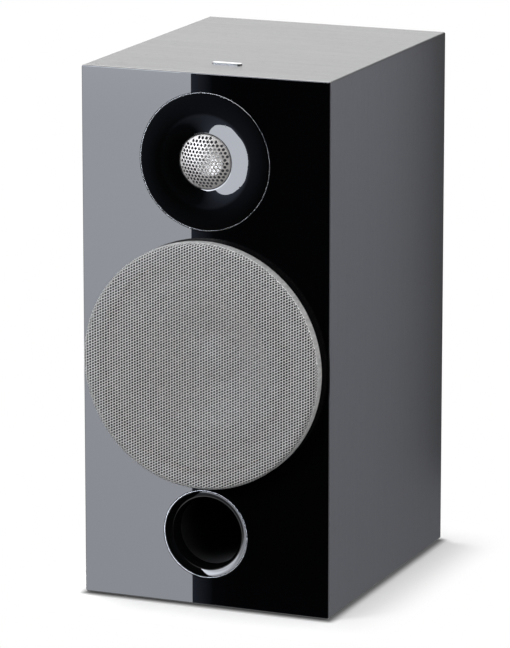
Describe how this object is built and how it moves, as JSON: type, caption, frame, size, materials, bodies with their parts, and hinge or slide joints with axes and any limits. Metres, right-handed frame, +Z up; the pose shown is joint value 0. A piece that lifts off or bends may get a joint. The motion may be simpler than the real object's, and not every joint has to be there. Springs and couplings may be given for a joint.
{
  "type": "bookshelf speaker",
  "caption": "Two-way ported bookshelf speaker with gloss front, perforated dome tweeter, round cloth grille, reflex port and rear binding posts.",
  "frame": {"origin": "on the floor under the middle of the overall box, feet down, grille fitted", "axes": "+Z up, the front with its grille and drivers faces -Y, +X to the right as seen from the front"},
  "size_m": [0.21, 0.27, 0.4322],
  "materials": {
    "satin_vinyl": "satin black vinyl wrap",
    "mdf": "raw fibreboard",
    "gloss_lacquer": "high gloss black",
    "rubber": "matt black",
    "foam": "dark felted wadding",
    "gasket_foam": "closed-cell foam",
    "badge_chrome": "polished",
    "grille_fabric": "light grey open knit",
    "grille_plastic": "black moulding",
    "magnet_nickel": "nickel plated",
    "ferrite": "sintered ferrite",
    "motor_steel": "zinc plated",
    "cast_alloy": "black powder coat",
    "cone_fibre": "coated fibre",
    "spider_cloth": "resin-dipped cotton",
    "former": "thin sheet",
    "copper": "enamelled copper wire",
    "tag_brass": "tinned brass",
    "screw_black": "black oxide",
    "faceplate_gloss": "gloss black moulding",
    "dome_mesh": "perforated bright alloy",
    "dome_alloy": "bright foil",
    "port_gloss": "gloss black moulding",
    "black_plastic": "moulded",
    "board_laminate": "green laminate",
    "capacitor_film": "wrapped film",
    "ceramic": "white ceramic case",
    "gold_plate": "gold plated",
    "red_plastic": "translucent red",
    "dark_plastic": "black",
    "lead_pvc": "insulated wire"
  },
  "bodies": {
    "cabinet": {"acoustic_wadding": "foam", "baffle_magnets": "magnet_nickel", "bottom_panel": "satin_vinyl", "crossover_board": "board_laminate", "crossover_capacitors": "capacitor_film", "crossover_inductors": "copper", "crossover_resistors": "ceramic", "crossover_standoffs": "black_plastic", "foot_pads": "rubber", "front_baffle": "mdf", "gloss_front_panel": "gloss_lacquer", "internal_leads": "lead_pvc", "left_side_panel": "satin_vinyl", "negative_post": "gold_plate", "port_flare": "port_gloss", "port_tube": "black_plastic", "positive_post": "gold_plate", "post_collars": "black_plastic", "post_nuts": "motor_steel", "rear_panel": "satin_vinyl", "right_side_panel": "satin_vinyl", "solder_tags": "tag_brass", "terminal_cup": "black_plastic", "terminal_screws": "screw_black", "top_badge": "badge_chrome", "top_panel": "satin_vinyl", "tweeter_chassis": "black_plastic", "tweeter_dome_grille": "dome_mesh", "tweeter_faceplate": "faceplate_gloss", "tweeter_gasket": "gasket_foam", "tweeter_magnet": "magnet_nickel", "tweeter_rear_chamber": "black_plastic", "tweeter_screws": "screw_black", "tweeter_surround": "rubber", "tweeter_tags": "tag_brass", "tweeter_top_plate": "motor_steel", "tweeter_yoke": "motor_steel", "window_brace": "mdf", "woofer_basket": "cast_alloy", "woofer_gasket": "gasket_foam", "woofer_magnet": "ferrite", "woofer_screws": "screw_black", "woofer_spider": "spider_cloth", "woofer_surround": "rubber", "woofer_tags": "tag_brass", "woofer_top_plate": "motor_steel", "woofer_yoke": "motor_steel"},
    "woofer_moving": {"woofer_cone": "cone_fibre", "woofer_dust_cap": "cone_fibre", "woofer_coil_former": "former", "woofer_voice_coil": "copper"},
    "tweeter_moving": {"tweeter_dome": "dome_alloy", "tweeter_voice_coil": "copper"},
    "grille": {"grille_frame": "grille_plastic", "grille_cloth": "grille_fabric", "grille_magnets": "magnet_nickel"},
    "positive_clamp": {"positive_washer": "gold_plate"},
    "positive_turn": {"positive_cap": "red_plastic"},
    "negative_clamp": {"negative_washer": "gold_plate"},
    "negative_turn": {"negative_cap": "dark_plastic"}
  },
  "joints": [
    {"name": "woofer_travel", "type": "slide", "parent": "cabinet", "child": "woofer_moving", "axis": [0, -1, 0], "range_m": [-0.005, 0.005], "stiffness_N_per_m": 1250, "deforming": ["woofer_surround", "woofer_spider"]},
    {"name": "tweeter_travel", "type": "slide", "parent": "cabinet", "child": "tweeter_moving", "axis": [0, -1, 0], "range_m": [-0.0003, 0.0003], "stiffness_N_per_m": 3000, "deforming": ["tweeter_surround"]},
    {"name": "grille_pull", "type": "slide", "parent": "cabinet", "child": "grille", "axis": [0, -1, 0], "range_m": [0, 0.06]},
    {"name": "positive_clamp_slide", "type": "slide", "parent": "cabinet", "child": "positive_clamp", "axis": [0, 1, 0], "range_m": [0, 0.005]},
    {"name": "positive_cap_turn", "type": "hinge", "parent": "positive_clamp", "child": "positive_turn", "pos_m": [-0.013, 0.12, 0.0965], "axis": [0, 1, 0], "range_deg": [0, 1440]},
    {"name": "negative_clamp_slide", "type": "slide", "parent": "cabinet", "child": "negative_clamp", "axis": [0, 1, 0], "range_m": [0, 0.005]},
    {"name": "negative_cap_turn", "type": "hinge", "parent": "negative_clamp", "child": "negative_turn", "pos_m": [0.013, 0.12, 0.0965], "axis": [0, 1, 0], "range_deg": [0, 1440]}
  ],
  "couplings": [
    {"joint": "positive_cap_turn", "follows": "positive_clamp_slide", "rad_per_m": 5026.5},
    {"joint": "negative_cap_turn", "follows": "negative_clamp_slide", "rad_per_m": 5026.5}
  ]
}
